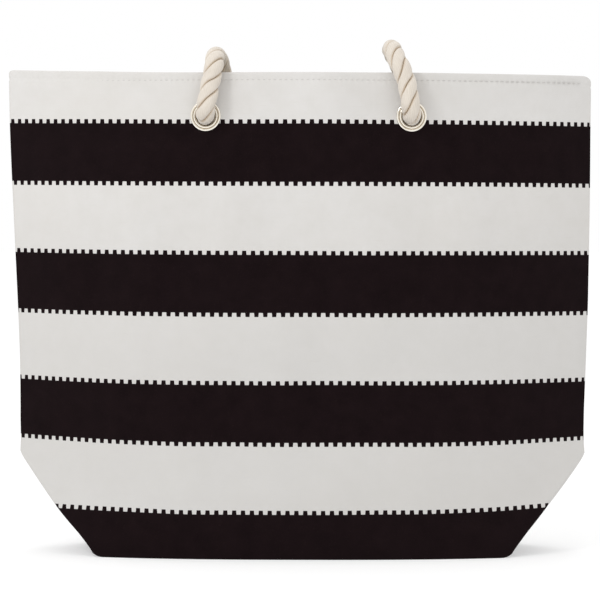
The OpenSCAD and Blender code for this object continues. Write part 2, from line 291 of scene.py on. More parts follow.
def drape(x, z, seed):
    """How far the cloth stands out: a slow S from base to mouth, broad waves that add up five sines, and
    shallow folds that spread like a fan from each folded corner and die away with distance."""
    draws = np.random.default_rng(seed)
    s = np.clip(np.abs(x) / half_width(z), 0.0, 1.0)
    out = -0.0016 * np.sin(2.0 * math.pi * z / BODY_H) * (1.0 - s * s)
    for length in (0.210, 0.150, 0.115, 0.085, 0.062):
        heading, shift = draws.uniform(0.0, math.pi), draws.uniform(0.0, 2.0 * math.pi)
        along = x * math.cos(heading) + z * math.sin(heading)
        out = out + 0.0022 * length / 0.21 * np.sin(2.0 * math.pi * along / length + shift) * (1.0 - s ** 4)
    for side in (-1.0, 1.0):
        across, up = FOLD_HALF_W - side * x, z - FOLD_Z
        reach = np.hypot(across, up)
        fan = np.arctan2(up, across + 1e-6)
        folds = np.sin(6.0 * fan + draws.uniform(0.0, 6.0)) * np.exp(-reach / 0.055)
        out = out + 0.0016 * folds * smooth_step(reach / 0.018) * (1.0 - s ** 8)
    # The base's board holds the lower edge in its drawn place
    return out * smooth_step(z / 0.050)


def wall_points(heights, depths, columns, insets, side, lip=0.0):
    """A layer of the front wall, a row for each height. A column from -1 to 1 is a fraction of the face
    between the creases of the folded corners, one from 1 to 2 goes on to the side seam at y = 0, and one from
    2 to 3 turns in beside the seam by the lip. The back wall is made as a front one that is turned round, so
    its left is the bag's right. Returns the points and the length of cloth from the bag's middle."""
    _, eyelets, seed, flip = side
    z, depth, inset = (np.asarray(a, float)[:, None] for a in (heights, depths, insets))
    c = np.asarray(columns, float)[None, :]
    width = half_width(z) - inset
    # Above the folded corners the columns past the crease share a strip that widens upwards
    room = np.where(z < FOLD_Z, 0.0, 0.06 * smooth_step((z - FOLD_Z) / 0.060) + 0.003)
    fold = np.clip(np.abs(c) - 1.0, 0.0, 1.0)
    s = np.sign(c) * (np.minimum(np.abs(c), 1.0) * (1.0 - room) + room * fold)
    y = face_depth(z, depth, s)
    crease = face_depth(z, depth, np.ones_like(s))
    y = np.where((z < FOLD_Z) & (fold > 0), crease + (SEAM_GAP - crease) * fold, y)
    points = np.stack([width * s, y, z + 0.0 * s], -1)
    # Every sharp line is rounded by moving each point towards the middle of its neighbours, a few times over
    for _ in range(4):
        inner = points[1:-1, 1:-1]
        nearby = (points[:-2, 1:-1] + points[2:, 1:-1] + points[1:-1, :-2] + points[1:-1, 2:]) / 4.0
        points[1:-1, 1:-1, :2] = inner[..., :2] + 0.5 * (nearby - inner)[..., :2]
    x, y = points[..., 0], points[..., 1]
    step = np.hypot(np.diff(x, axis=1), np.diff(y, axis=1))
    along = np.concatenate([np.zeros((len(x), 1)), np.cumsum(step, axis=1)], 1)
    left, along = along[:, -1:] - along, along - along[:, along.shape[1] // 2][:, None]
    # The side seam's shoulder is a quarter circle, and past it the allowance runs back inside
    to_edge = np.minimum(left, left[:, ::-1] if lip == 0.0 else left.max(1, keepdims=True) - left)
    turned_in = lip * np.clip(np.abs(c) - 2.0, 0.0, 1.0)
    x = x - np.sign(c) * (quarter_round(to_edge, 0.0017) + turned_in)
    near = np.ones_like(x)
    for place in eyelets:
        near = near * clear_of_eyelet(x, z, place)
    y = y + drape(x, z, seed) * near * smooth_step(to_edge / EASE)
    # The sides lean a little, and the mouth's upper corners are rounded, the right one more
    share = np.clip(np.abs(s), 0, 1) ** 3
    way = -1.0 if flip else 1.0
    on_left = way * c < 0
    x = x + way * share * np.where(on_left, eased(z, LEAN_LEFT), eased(z, LEAN_RIGHT))
    drop = quarter_round(to_edge, np.where(on_left, 0.0035, 0.0075))
    height = z - 0.8 * drop * smooth_step((z - HIGH_ROW_Z) / 0.016)
    height = height + lift(way * s, z)
    return np.stack([x, -y, height], -1), along + np.sign(c) * turned_in


def cut_holes(points, eyelets):
    """Takes out the faces whose middles lie inside an eyelet's hole, and moves the points on the hole's edge
    on to its circle. Returns which faces stay."""
    middle = (points[:-1, :-1] + points[1:, :-1] + points[:-1, 1:] + points[1:, 1:]) / 4.0
    keep = np.ones(middle.shape[:2], bool)
    for place in eyelets:
        gone = np.hypot(middle[..., 0] - place, middle[..., 2] - EYELET_Z) < HOLE_R
        keep &= ~gone
        touched = np.zeros(points.shape[:2], bool)
        stays = np.zeros(points.shape[:2], bool)
        for a in (0, 1):
            for b in (0, 1):
                window = (slice(a, a + gone.shape[0]), slice(b, b + gone.shape[1]))
                touched[window] |= gone
                stays[window] |= ~gone
        rim = touched & stays
        dx, dz = points[rim][:, 0] - place, points[rim][:, 2] - EYELET_Z
        grow = HOLE_R / np.hypot(dx, dz)
        points[rim, 0] = place + dx * grow
        points[rim, 2] = EYELET_Z + dz * grow
    return keep


def turned(points):
    """Half a turn about Z, which makes a front layer a back one."""
    return points * np.array([-1.0, -1.0, 1.0])


FRONT_EYELETS = (FRONT_SHIFT - EYELET_HALF, FRONT_SHIFT + EYELET_HALF)
BACK_EYELETS = (-EYELET_HALF, EYELET_HALF)
# Each side's word, its eyelets, the seed of its drape, and whether it is turned round
SIDES = (("front", FRONT_EYELETS, 11, False), ("back", BACK_EYELETS, 12, True))


def canvas_rows():
    """Heights and depths of the canvas's rows: up from the lip under the base, round the base's edge, up the
    wall, over the mouth's edge, and down inside as the hem. The last array is the length of cloth above the
    floor."""
    r, lip_depth = 0.003, 0.0110
    reach = lip_depth - r
    lip = np.linspace(0.0, 1.0, 4)[:-1]
    bend = np.linspace(0.0, math.pi / 2, 9)[:-1]
    low_z = np.concatenate([0.0006 * (1 - lip), r - r * np.cos(bend)])
    low_depth = np.concatenate([lip_depth - reach * lip, r - r * np.sin(bend)])
    low_v = np.concatenate([r - r * math.pi / 2 - reach * (1 - lip), r - r * math.pi / 2 + r * bend])
    stitches_from = 0.3705
    wall = np.concatenate([
        np.linspace(r, FOLD_Z, 30)[:-1], np.linspace(FOLD_Z, LOW_ROW_Z, 92)[:-1],
        np.linspace(LOW_ROW_Z, HIGH_ROW_Z, 22)[:-1],
        np.linspace(HIGH_ROW_Z, stitches_from, 5)[:-1],
        np.linspace(stitches_from, TOP_Z, 14),
    ])
    edge = 0.0013
    over = np.linspace(0.0, math.pi, 10)[1:]
    down = np.linspace(0.0, 0.0105, 6)[1:]
    top_z = np.concatenate([TOP_Z + edge * np.sin(over), TOP_Z - down])
    top_depth = np.concatenate([edge - edge * np.cos(over), 2 * edge + 0 * down])
    top_v = np.concatenate([TOP_Z + edge * over, TOP_Z + edge * math.pi + down])
    # The row of stitches pulls the canvas in along a shallow groove
    groove = 0.0004 * np.exp(-((wall - STITCH_Z) / 0.0009) ** 2)
    return (
        np.concatenate([low_z, wall, top_z]),
        np.concatenate([low_depth, groove, top_depth]),
        np.concatenate([low_v, wall, top_v]),
    )


def layer_columns(face, fold, allowance):
    """Columns of a layer: so many across the face, then past each crease, and in the seam's allowance."""
    edge = 1.0 + np.linspace(0.0, 1.0, fold + 1)[1:]
    seam = 2.0 + np.linspace(0.0, 1.0, allowance + 1)[1:] if allowance else np.zeros(0)
    side = np.concatenate([edge, seam])
    return np.concatenate([-side[::-1], np.linspace(-1.0, 1.0, face), side])


def wall_layer(name, side, heights, depths, v, columns, thickness, inset, finish, lip=0.0):
    """One cloth of the wall, with its two eyelets' holes."""
    word, eyelets, _, flip = side
    depths = np.asarray(depths, float)
    points, u = wall_points(heights, depths, columns, depths * SLANT + inset, side, lip)
    keep = cut_holes(points, eyelets)
    uv = np.stack([u, np.broadcast_to(np.asarray(v)[:, None], u.shape)], -1)
    return cloth_piece(f"{word}_{name}", turned(points) if flip else points, thickness, uv, finish, keep)


# --- Finishes ---
class Finish:
    """A material and the few short calls that wire its nodes."""

    def __init__(self, name, roughness, gloss=0.2, metallic=0.0, sheen=0.0):
        self.material = bpy.data.materials.new(name)
        self.material.use_nodes = True
        self.tree = self.material.node_tree
        self.shader = self.tree.nodes["Principled BSDF"]
        for key, value in (("Metallic", metallic), ("Specular IOR Level", gloss), ("Roughness", roughness)):
            self.shader.inputs[key].default_value = value
        if sheen:
            self.shader.inputs["Sheen Weight"].default_value = sheen
            self.shader.inputs["Sheen Roughness"].default_value = 0.5
        self.object_place = self.node("TexCoord").outputs["Object"]

    def node(self, kind):
        return self.tree.nodes.new("ShaderNode" + kind)

    def put(self, socket, value):
        if isinstance(value, bpy.types.NodeSocket):
            self.tree.links.new(value, socket)
        else:
            socket.default_value = value

    def math(self, operation, a, b=0.0, c=0.0, clamp=False):
        node = self.node("Math")
        node.operation = operation
        node.use_clamp = clamp
        for socket, value in zip(node.inputs, (a, b, c)):
            self.put(socket, value)
        return node.outputs[0]

    def times(self, a, b):
        return self.math("MULTIPLY", a, b)

    def times_plus(self, a, b, c, clamp=False):
        return self.math("MULTIPLY_ADD", a, b, c, clamp)

    def uv(self):
        """The cloth's own place: across and up, in metres of cloth."""
        place = self.node("UVMap")
        place.uv_map = "cloth"
        parts = self.node("SeparateXYZ")
        self.put(parts.inputs[0], place.outputs[0])
        return parts.outputs[0], parts.outputs[1]

    def noise(self, scale, detail=2.0, roughness=0.5, place=None, stretch=None):
        node = self.node("TexNoise")
        for key, value in (("Scale", scale), ("Detail", detail), ("Roughness", roughness)):
            node.inputs[key].default_value = value
        place = place or self.object_place
        if stretch:
            mapping = self.node("Mapping")
            mapping.inputs["Scale"].default_value = stretch
            self.put(mapping.inputs["Vector"], place)
            place = mapping.outputs[0]
        self.put(node.inputs["Vector"], place)
        return node.outputs["Fac"]

    def vector(self, x, y, z=0.0):
        node = self.node("CombineXYZ")
        for socket, value in zip(node.inputs, (x, y, z)):
            self.put(socket, value)
        return node.outputs[0]

    def mix(self, share, a, b):
        node = self.node("Mix")
        node.data_type = "RGBA"
        self.put(node.inputs[0], share)
        self.put(node.inputs[6], a)
        self.put(node.inputs[7], b)
        return node.outputs[2]

    def span(self, value, low, high, to_low=0.0, to_high=1.0):
        node = self.node("MapRange")
        for socket, number in zip(node.inputs, (value, low, high, to_low, to_high)):
            self.put(socket, number)
        return node.outputs[0]

    def attribute(self, name):
        node = self.node("Attribute")
        node.attribute_name = name
        return node.outputs["Fac"]

    def colour(self, value):
        self.put(self.shader.inputs["Base Color"], value)

    def rough(self, value):
        self.put(self.shader.inputs["Roughness"], value)

    def bump(self, height, distance, strength=1.0):
        node = self.node("Bump")
        node.inputs["Strength"].default_value = strength
        node.inputs["Distance"].default_value = distance
        self.put(node.inputs["Height"], height)
        self.put(self.shader.inputs["Normal"], node.outputs[0])

    def weave(self, u, v, pitch):
        """Plain weave: over one square of the cloth the warp lies on top and over the next the weft, each a
        round thread that rises in the middle and dives under at its ends."""
        across = self.math("SINE", self.times(u, math.pi / pitch))
        up = self.math("SINE", self.times(v, math.pi / pitch))
        a, b = self.math("ABSOLUTE", across), self.math("ABSOLUTE", up)
        sign = self.times(across, up)
        warp = self.times(self.math("POWER", a, 0.7), self.math("POWER", b, 0.3))
        weft = self.times(self.math("POWER", a, 0.3), self.math("POWER", b, 0.7))
        over = self.math("GREATER_THAN", sign, 0.0)
        more = self.times(over, self.math("SUBTRACT", warp, weft))
        return self.math("ADD", weft, more)


def rgb(red, green, blue):
    """A colour given as it looks on a screen, 0 to 255."""
    return tuple(((c / 255 + 0.055) / 1.055) ** 2.4 for c in (red, green, blue)) + (1.0,)


# Heights where the stripes change, from the top, and where the first white tooth stands across, in metres
STRIPES = (
    (0.34174, -0.00286), (0.29328, -0.00159), (0.23975, 0.00010), (0.19138, 0.00284),
    (0.13825, -0.00115), (0.09000, 0.00215), (0.03730, -0.00036),
)
TOOTH_PITCH = 0.00693
TOOTH_HALF_H = 0.0016
# Width over which the print's edge fades, and by which it strays
INK_EDGE = 0.00022


def striped_canvas():
    """Black stripes printed on natural canvas. The print is an alternating sum of seven steps up the cloth,
    and each step's height goes up and down with a square wave across, which makes the row of teeth."""
    f = Finish("striped_canvas", 0.88, gloss=0.07)
    u, v = f.uv()
    wander = f.math("SUBTRACT", f.noise(1900.0, 1.0), 0.5)
    u_ink = f.times_plus(wander, INK_EDGE, u)
    v_ink = f.times_plus(wander, INK_EDGE, v)
    white = 0.0
    for k, (height, tooth) in enumerate(STRIPES):
        way = 1.0 if k % 2 == 0 else -1.0
        turn = f.times_plus(u_ink, 2 * math.pi / TOOTH_PITCH, -2 * math.pi * tooth / TOOTH_PITCH)
        square = f.times(f.math("COSINE", turn), 7.0)
        square = f.math("MINIMUM", f.math("MAXIMUM", square, -1.0), 1.0)
        above = f.math("SUBTRACT", v_ink, height)
        above = f.times_plus(square, way * TOOTH_HALF_H, above)
        step = f.times_plus(above, 1.0 / INK_EDGE, 0.5, clamp=True)
        white = f.times_plus(step, way, white)
    threads = f.weave(u, v, 0.00062)
    broad = f.noise(9.0, 3.0)
    cloud = f.noise(70.0, 4.0, 0.6)
    grain = f.noise(900.0, 3.0, 0.7)
    slub = f.noise(60.0, 2.0, 0.5, place=f.vector(u, f.times(v, 14.0)))
    cloth = f.mix(f.span(cloud, 0.3, 0.7), rgb(211, 209, 206), rgb(216, 214, 212))
    cloth = f.mix(f.span(broad, 0.35, 0.7, 0.0, 0.35), cloth, rgb(207, 203, 197))
    cloth = f.mix(f.times(f.span(threads, 0.0, 0.7, 1.0, 0.0), 0.30), cloth, rgb(188, 185, 180))
    cloth = f.mix(f.span(slub, 0.62, 0.8, 0.0, 0.25), cloth, rgb(199, 194, 186))
    # Painted shade: the cloth is coloured a little greyer towards its base
    cloth = f.mix(f.span(v, 0.300, 0.160, 0.0, 0.5), cloth, rgb(196, 194, 191))
    ink = f.mix(f.span(cloud, 0.25, 0.75), rgb(17, 8, 10), rgb(24, 14, 16))
    worn = f.times(f.span(grain, 0.55, 0.85), f.span(threads, 0.5, 1.0))
    ink = f.mix(worn, ink, rgb(52, 42, 42))
    f.colour(f.mix(white, ink, cloth))
    f.rough(f.span(grain, 0.2, 0.8, 0.82, 0.95))
    # Between two stitches the hem's edge puffs up a little
    beside = f.math("ABSOLUTE", f.math("SUBTRACT", v, STITCH_Z))
    pucker = f.math("COSINE", f.times(u, 2 * math.pi / STITCH_PITCH))
    pucker = f.times(pucker, f.span(beside, 0.0, 0.0042, 0.9, 0.0))
    height = f.times_plus(grain, 0.35, f.times(threads, 0.55))
    height = f.times_plus(cloud, 0.8, height)
    f.bump(f.math("ADD", height, pucker), 0.00016, 0.8)
    return f.material


def plain_cloth(name, light, dark, pitch, relief):
    """Unprinted cotton in plain weave, with slubs and a slight change of shade."""
    f = Finish(name, 0.9, gloss=0.15, sheen=0.1)
    u, v = f.uv()
    threads = f.weave(u, v, pitch)
    cloud = f.noise(45.0, 4.0, 0.6)
    grain = f.noise(1100.0, 2.0, 0.6)
    slub = f.noise(50.0, 2.0, 0.5, place=f.vector(f.times(u, 12.0), v))
    shade = f.mix(f.span(cloud, 0.3, 0.7), light, dark)
    shade = f.mix(f.times(f.span(threads, 0.0, 0.6, 1.0, 0.0), 0.45), shade, dark)
    f.colour(f.mix(f.span(slub, 0.6, 0.8, 0.0, 0.4), shade, dark))
    height = f.times_plus(grain, 0.3, threads)
    f.bump(f.times_plus(cloud, 1.5, height), relief, 0.8)
    return f.material


def sewing_thread():
    """Two plies twisted together: slanting ribs along the stitch."""
    f = Finish("sewing_thread", 0.7, gloss=0.3)
    u, v = f.uv()
    turn = f.times_plus(u, 4 * math.pi, f.times(v, 2 * math.pi / 0.0009))
    ribs = f.times_plus(f.math("SINE", turn), 0.5, 0.5)
    f.colour(f.mix(f.times(ribs, 0.5), rgb(186, 183, 180), rgb(212, 210, 206)))
    f.bump(ribs, 0.00008)
    return f.material


def twisted_cotton():
    """Soft cotton: yarns that run along the rope on every strand, loose fibres, and painted shade in the
    grooves between the strands.
    """
    f = Finish("twisted_cotton_rope", 0.92, gloss=0.12, sheen=0.25)
    u, v = f.uv()
    groove = f.attribute("groove")
    around = f.times_plus(v, 1.0 / LAY, u)
    fibre_place = f.vector(f.times(around, 0.044), f.times(v, 0.16))
    fibre = f.noise(1500.0, 3.0, 0.65, place=fibre_place)
    coarse = f.noise(420.0, 2.0, 0.5, place=fibre_place)
    wander = f.times_plus(coarse, 5.0, f.times(around, 2 * math.pi * 30))
    yarn = f.times_plus(f.math("SINE", wander), 0.5, 0.5)
    cloud = f.noise(90.0, 3.0)
    cotton = f.mix(f.span(cloud, 0.3, 0.7), rgb(214, 205, 194), rgb(220, 212, 201))
    cotton = f.mix(f.times(f.math("SUBTRACT", 1.0, yarn), 0.22), cotton, rgb(192, 180, 163))
    cotton = f.mix(f.span(fibre, 0.56, 0.75, 0.0, 0.35), cotton, rgb(228, 222, 213))
    cotton = f.mix(f.span(fibre, 0.44, 0.28, 0.0, 0.3), cotton, rgb(184, 170, 150))
    # Painted shade: the grooves between the strands are coloured a darker brown
    f.colour(f.mix(f.times(groove, 0.60), cotton, rgb(190, 165, 130)))
    height = f.times_plus(fibre, 1.1, f.times(yarn, 0.55))
    f.bump(height, 0.00028, 0.9)
    return f.material


def champagne_metal():
    """Polished pale gold: turned rings, a few fine scratches, a duller film in patches, and painted shade in
    the groove between the two rolls.
    """
    f = Finish("champagne_metal", 0.2, gloss=0.5, metallic=1.0)
    film = f.noise(160.0, 3.0)
    scratch = f.noise(900.0, 2.0, 0.6, stretch=(1.0, 1.0, 9.0))
    _, along = f.uv()
    shade = f.mix(f.span(film, 0.35, 0.7), rgb(240, 233, 220), rgb(248, 243, 233))
    # Painted shade: the groove between the two rolls is coloured dark brown
    in_groove = f.math("ABSOLUTE", f.math("SUBTRACT", along, GROOVE_RUN))
    f.colour(f.mix(f.span(in_groove, 0.00014, 0.00036, 0.8, 0.0), shade, rgb(120, 98, 70)))
    rough = f.span(scratch, 0.35, 0.75, 0.10, 0.26)
    f.rough(f.times_plus(f.span(film, 0.5, 0.8), 0.08, rough))
    f.bump(scratch, 0.00002, 0.5)
    return f.material


def stiffener_board():
    """Grey card with short fibres."""
    f = Finish("stiffener_board", 0.85, gloss=0.25)
    fibre = f.noise(500.0, 4.0, 0.7, stretch=(1.0, 4.0, 1.0))
    f.colour(f.mix(f.span(fibre, 0.35, 0.65), rgb(66, 64, 62), rgb(98, 94, 90)))
    f.bump(fibre, 0.0001)
    return f.material


CANVAS = striped_canvas()
LINING = plain_cloth("cotton_lining", rgb(226, 219, 204), rgb(204, 194, 174), 0.00055, 0.00013)
TAPE = plain_cloth("cotton_tape", rgb(222, 216, 204), rgb(190, 182, 166), 0.0009, 0.0002)
THREAD = sewing_thread()
ROPE = twisted_cotton()
METAL = champagne_metal()
BOARD = stiffener_board()


# --- Twisted rope ---
STRAND_COLUMNS = 22
RING_STEP = 0.0009
# Where in its lay the front rope stands as it leaves its first knot
FRONT_PHASE = 0.004


def smooth_path(points, spacing):
    """A smooth curve through the points, evenly spaced: in each span a cubic, whose slope at each point lies
    between those of the two chords beside it, nearer to the shorter one's."""
    p = np.asarray(points, float)
    t = np.concatenate([[0.0], np.cumsum(np.linalg.norm(np.diff(p, axis=0), axis=1))])
    slope = np.gradient(p, t, axis=0)
    fine = np.linspace(0.0, t[-1], 12 * int(t[-1] / spacing))
    k = np.clip(np.searchsorted(t, fine, side="right") - 1, 0, len(t) - 2)
    h = (t[k + 1] - t[k])[:, None]
    w = ((fine - t[k])[:, None]) / h
    curve = (
        (2 * w ** 3 - 3 * w ** 2 + 1) * p[k] + (w ** 3 - 2 * w ** 2 + w) * h * slope[k]
        + (3 * w ** 2 - 2 * w ** 3) * p[k + 1] + (w ** 3 - w ** 2) * h * slope[k + 1]
    )
    run = np.concatenate([[0.0], np.cumsum(np.linalg.norm(np.diff(curve, axis=0), axis=1))])
    even = np.linspace(0.0, run[-1], int(round(run[-1] / spacing)) + 1)
    return np.stack([np.interp(even, run, curve[:, i]) for i in range(3)], 1)


def carried_frames(path, closed=False):
    """Two directions across the path at each point. The first is carried along without turning about the
    path, and on a closed path what it has turned by the end is spread over the whole."""
    if closed:
        ahead = unit(np.roll(path, -1, 0) - np.roll(path, 1, 0))
    else:
        ahead = unit(np.gradient(path, axis=0))
    first = np.cross(ahead[0], [0.31, 0.17, 0.94])
    across = [first / np.linalg.norm(first)]
    for direction in ahead[1:]:
        flat = across[-1] - across[-1].dot(direction) * direction
        across.append(flat / np.linalg.norm(flat))
    across = np.array(across)
    other = np.cross(ahead, across)
    if closed:
        last = across[-1] - across[-1].dot(ahead[0]) * ahead[0]
        gap = math.atan2(last.dot(other[0]), last.dot(across[0]))
        turn = -gap * np.arange(len(path))[:, None] / len(path)
        across, other = (
            across * np.cos(turn) + other * np.sin(turn),
            other * np.cos(turn) - across * np.sin(turn),
        )
    return across, other


def rope_rings(path, phase=0.0, closed=False, columns=STRAND_COLUMNS, scale=1.0):
    """Rings of a three-strand rope. Each ring's points keep their place on the strands, so the rings turn
    once in each lay. From a strand's middle to its edge the radius falls with the square and the sixth power
    of the way there, and a narrow crease is cut where two strands meet. The strands swell and shrink by a
    trace."""
    across, other = carried_frames(path, closed)
    step = np.linalg.norm(np.diff(path, axis=0), axis=1)
    run = np.concatenate([[0.0], np.cumsum(step)]) + phase
    lay = LAY
    if closed:
        whole = run[-1] - phase + np.linalg.norm(path[0] - path[-1])
        lay = whole / max(1, round(whole / LAY))
    t = np.linspace(-1.0, 1.0, columns, endpoint=False)
    way = 1.5 * t - 0.5 * t ** 3
    angle = np.concatenate([math.pi / 3 * way + k * 2 * math.pi / 3 for k in range(3)])
    n = np.abs(np.tile(way, 3))
    crease = np.exp(-((1 - n) / 0.075) ** 2)
    radius = ROPE_D / 2 * (1 - 0.085 * n ** 2 - 0.19 * n ** 6 - 0.10 * crease)
    strand = np.repeat(np.arange(3), columns)
    uneven = 0.016 * np.sin(run[:, None] * 143.0 + strand * 2.1) * (1 - n ** 4)
    # The rope is squeezed as it goes through an eyelet, and full again a rope's width further on
    in_eyelet = np.abs(np.abs(path[:, 1]) - 0.059) / 0.5 + np.abs(path[:, 2] - EYELET_Z)
    full = 1.0 + 0.075 * smooth_step((in_eyelet - 0.006) / 0.014)
    radius = scale * full[:, None] * radius * (1 + uneven)
    turn = angle[None, :] + 2 * math.pi * run[:, None] / lay
    around = np.cos(turn)[..., None] * across[:, None] + np.sin(turn)[..., None] * other[:, None]
    # How near each point lies to a crease between strands, which the rope's finish uses for its painted shade
    groove = np.broadcast_to(np.exp(-((1 - n) / 0.16) ** 2), turn.shape)
    return path[:, None] + radius[..., None] * around, run, groove, angle / (2 * math.pi)


def tube_arrays(rings, run, turns, closed=False):
    """Points, face arrays and corner UVs of a stack of rings, closed at both ends, or joined end to end."""
    rows, sides = rings.shape[:2]
    faces, flat = grid_faces(rows, sides, closed, True)
    run = np.append(run, 2 * run[-1] - run[-2]) if closed else run
    places = grid_uv(np.append(turns, turns[0] + 1.0), run)
    points = rings.reshape(-1, 3)
    if closed:
        return points, [faces], places[flat].reshape(-1, 2)
    ends = rings[[0, -1]].mean(1)
    ends = ends + 0.15 * (ends - rings[[1, -2]].mean(1))
    points = np.concatenate([points, ends])
    cap_uv = np.tile([[0.0, 0.0], [0.02, 0.0], [0.01, 0.01]], (2 * sides, 1))
    return points, [faces, *end_fans(rows, sides)], np.concatenate([places[flat].reshape(-1, 2), cap_uv])


def rope_piece(name, rings, run, groove, turns):
    points, faces, uv = tube_arrays(rings, run, turns)
    values = {"groove": np.append(groove.ravel(), [0.5, 0.5])}
    return add_piece(name, points, faces, ROPE, uv, values)


def stopper_knot(name, x, side):
    """A three-lobed knot of the same rope, drawn up tight. Across, it adds a turn and, twice as large, one at
    twice the pace, and along the rope's way it rises and falls three times. Its tail hangs below."""
    t = np.linspace(0.0, 2 * math.pi, 150, endpoint=False)
    wide, deep = 0.0037, 0.0058
    middle = np.array([x, side * 0.0376, EYELET_Z])
    loop = middle + np.stack([
        wide * (np.sin(t) + 2 * np.sin(2 * t)),
        side * -deep * np.sin(3 * t),
        wide * (np.cos(t) - 2 * np.cos(2 * t)),
    ], 1)
    rings, run, groove, turns = rope_rings(loop, closed=True, columns=16, scale=0.93)
    points, faces, uv = tube_arrays(rings, run, turns, closed=True)
    lean = 0.004 if x > 0 else -0.005
    tail = smooth_path(middle + np.array([
        [0.0, 0.0, -0.004],
        [lean * 0.2, 0.0, -0.014],
        [lean * 0.6, side * 0.001, -0.024],
        [lean, 0.0, -0.033],
    ]), 0.0012)
    tail_rings, tail_run, tail_groove, turns = rope_rings(tail, columns=16, scale=0.97)
    more, more_faces, more_uv = tube_arrays(tail_rings, tail_run, turns)
    faces = faces + [f + len(points) for f in more_faces]
    points = np.concatenate([points, more])
    values = {"groove": np.concatenate([groove.ravel(), tail_groove.ravel(), [0.5, 0.5]])}
    return add_piece(name, points, faces, ROPE, np.concatenate([uv, more_uv]), values)


def handle_pieces():
    """The front handle is one twisted rope from knot to knot, cut into three lengths where it crosses the
    rim. The back handle is one length."""
    for word, places, side in (("front", FRONT_EYELETS, -1), ("back", BACK_EYELETS, 1)):
        for hand, x in zip(("left", "right"), places):
            knot = stopper_knot(f"{word}_{hand}_stopper_knot", x, side)
            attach(knot, "bag")
            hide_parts(f"knot_{word}_{hand}")
    left_knot = ((-0.075, -0.0406, 0.346),)
    right_knot = ((0.085, -0.0406, 0.346),)
    route = (
        left_knot + FRONT_LEG_LEFT + FRONT_CREST_LEFT + FRONT_LOOP + FRONT_CREST_RIGHT[::-1]
        + FRONT_LEG_RIGHT[::-1] + right_knot
    )
    whole = smooth_path(route, RING_STEP)
    # The two places where the rope passes over the mouth's edge: of each half's points above the edge, the
    # one that is nearest to the middle of the bend
    cuts = []
    for half in (whole[:, 0] < 0, whole[:, 0] >= 0):
        choice = np.flatnonzero(half & (whole[:, 2] > 0.385))
        cuts.append(choice[np.argmin(np.abs(whole[choice, 1] + 0.042))])
    cut_left, cut_right = cuts
    rings, run, groove, turns = rope_rings(whole, FRONT_PHASE)
    parts = (
        ("front_rope_left_leg", slice(0, cut_left + 1), "bag", "front_handle_crest"),
        ("front_rope_loop", slice(cut_left, cut_right + 1), "front_handle_crest", "front_handle_loop"),
        ("front_rope_right_leg", slice(cut_right, len(whole)), "bag", "front_handle_crest"),
    )
    for name, part, near, far in parts:
        piece = rope_piece(name, rings[part], run[part], groove[part], turns)
        path = whole[part]
        if near == "bag":
            hand = "left" if "left" in name else "right"
            path = path if hand == "left" else path[::-1]
            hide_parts(f"front_handle_leg_{hand}", f"front_handle_crest_{hand}")
            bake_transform(piece)
        else:
            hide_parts("front_handle_loop")
            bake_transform(piece)
    half = ((0.080, 0.0406, 0.346),) + BACK_HALF
    mirrored = tuple((-x, y, z) for x, y, z in half)
    route = mirrored + (BACK_MIDDLE,) + half[::-1]
    path = smooth_path(route, RING_STEP)
    piece = rope_piece("back_rope", *rope_rings(path, 0.011))
    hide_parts("back_handle_stub_left", "back_handle_stub_right", "back_handle_loop")
    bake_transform(piece)


handle_pieces()


# --- Canvas, tape, lining and their seams ---
def shell_pieces():
    """The canvas, tape and lining of the front and the back. A layer is its name, CAD part and slot, and what
    wall_layer takes."""
    inner = layer_columns(111, 7, 0)
    tape_z = np.linspace(0.324, 0.3662, 20)
    lining_z = np.concatenate([
        np.linspace(0.0050, LOW_ROW_Z, 75)[:-1], np.linspace(LOW_ROW_Z, 0.3755, 24),
    ])
    tape_rows = tape_z, TAPE_DEPTH + 0 * tape_z, tape_z
    lining_rows = lining_z, LINING_DEPTH + 0 * lining_z, lining_z
    layers = (
        ("canvas", "{}_panel", "striped_canvas", *canvas_rows(), layer_columns(171, 11, 4), CANVAS_T, 0.0,
         CANVAS, 0.0075),
        ("mouth_tape", "mouth_tape_{}", "cotton_tape", *tape_rows, inner, TAPE_T, SEAM_ROOM, TAPE),
        ("lining", "lining_{}", "cotton_lining", *lining_rows, inner, LINING_T, SEAM_ROOM, LINING),
    )
    for side in SIDES:
        for name, node, slot, *cloth in layers:
            piece = wall_layer(name, side, *cloth)
            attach(piece, "bag")
            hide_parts(node.format(side[0]))


def crowded(first, last, count):
    """Numbers from first to last, which are -1 and 1 or 1 and -1, closer together towards both ends."""
    quarter = math.pi / 2 * 0.98
    return np.sin(np.linspace(first, last, count) * quarter) / math.sin(quarter)


def base_sheet(name, finish, thickness, level, height, depth, end, curl, bulge):
    """A sheet that fills the bag's outline at a height, less the depth all round and the end's room: across
    it the points go from one long side to the other, its border curls up, and its middle bulges."""
    s, t = crowded(-1.0, 1.0, 81)[None, :], crowded(1.0, -1.0, 41)[:, None]
    width = float(half_width(height)) - depth * SLANT - end
    x, y = width * s + 0 * t, t * face_depth(height, depth, s)
    border = np.maximum(np.abs(s) ** 16, np.abs(t) ** 9)
    z = level + curl * border + bulge * (1 - s ** 2) * (1 - t ** 2)
    z = z + 0.3 * bulge * np.sin(41 * x + 1.0) * np.sin(57 * y + 2.0) * (1 - border)
    points = np.stack([x, y, z], -1)
    # The canvas's place on the print is below its lowest step, where it is black
    uv = np.stack([x, y * 0.2 - 0.05], -1) if finish is CANVAS else np.stack([x, y], -1)
    piece = cloth_piece(name, points, thickness, uv, finish)
    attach(piece, "bag")
    return piece


